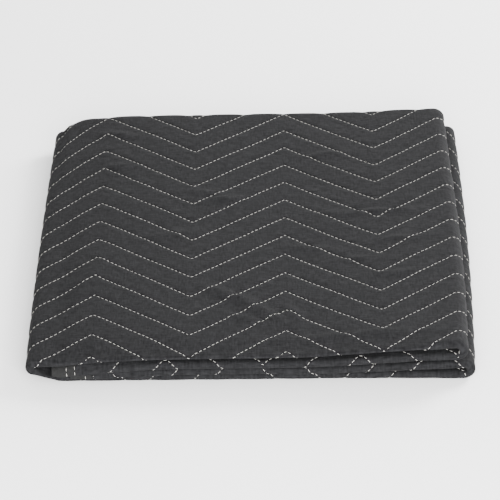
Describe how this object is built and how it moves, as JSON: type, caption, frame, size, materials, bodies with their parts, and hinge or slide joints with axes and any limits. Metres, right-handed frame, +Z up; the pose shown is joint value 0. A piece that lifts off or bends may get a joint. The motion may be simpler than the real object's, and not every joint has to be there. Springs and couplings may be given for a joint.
{
  "type": "folded quilted moving pad",
  "caption": "Large quilted furniture pad with zigzag stitching and bound edges, folded flat into a low rectangular stack.",
  "frame": {"origin": "centre of the folded pad's flat underside, on the surface it rests on", "axes": "+Z up, -Y towards the front with the folded noses, +X towards the side with the two open folds"},
  "size_m": [0.4694, 0.5186, 0.0473],
  "materials": {
    "quilted_cloth": "matt woven charcoal cloth, quilted with off-white thread",
    "binding_tape": "matt woven charcoal tape"
  },
  "bodies": {
    "root": {"quilted_pad": "quilted_cloth", "binding_end_a": "binding_tape", "binding_end_b": "binding_tape", "binding_side_a": "binding_tape", "binding_side_b": "binding_tape"}
  },
  "joints": []
}
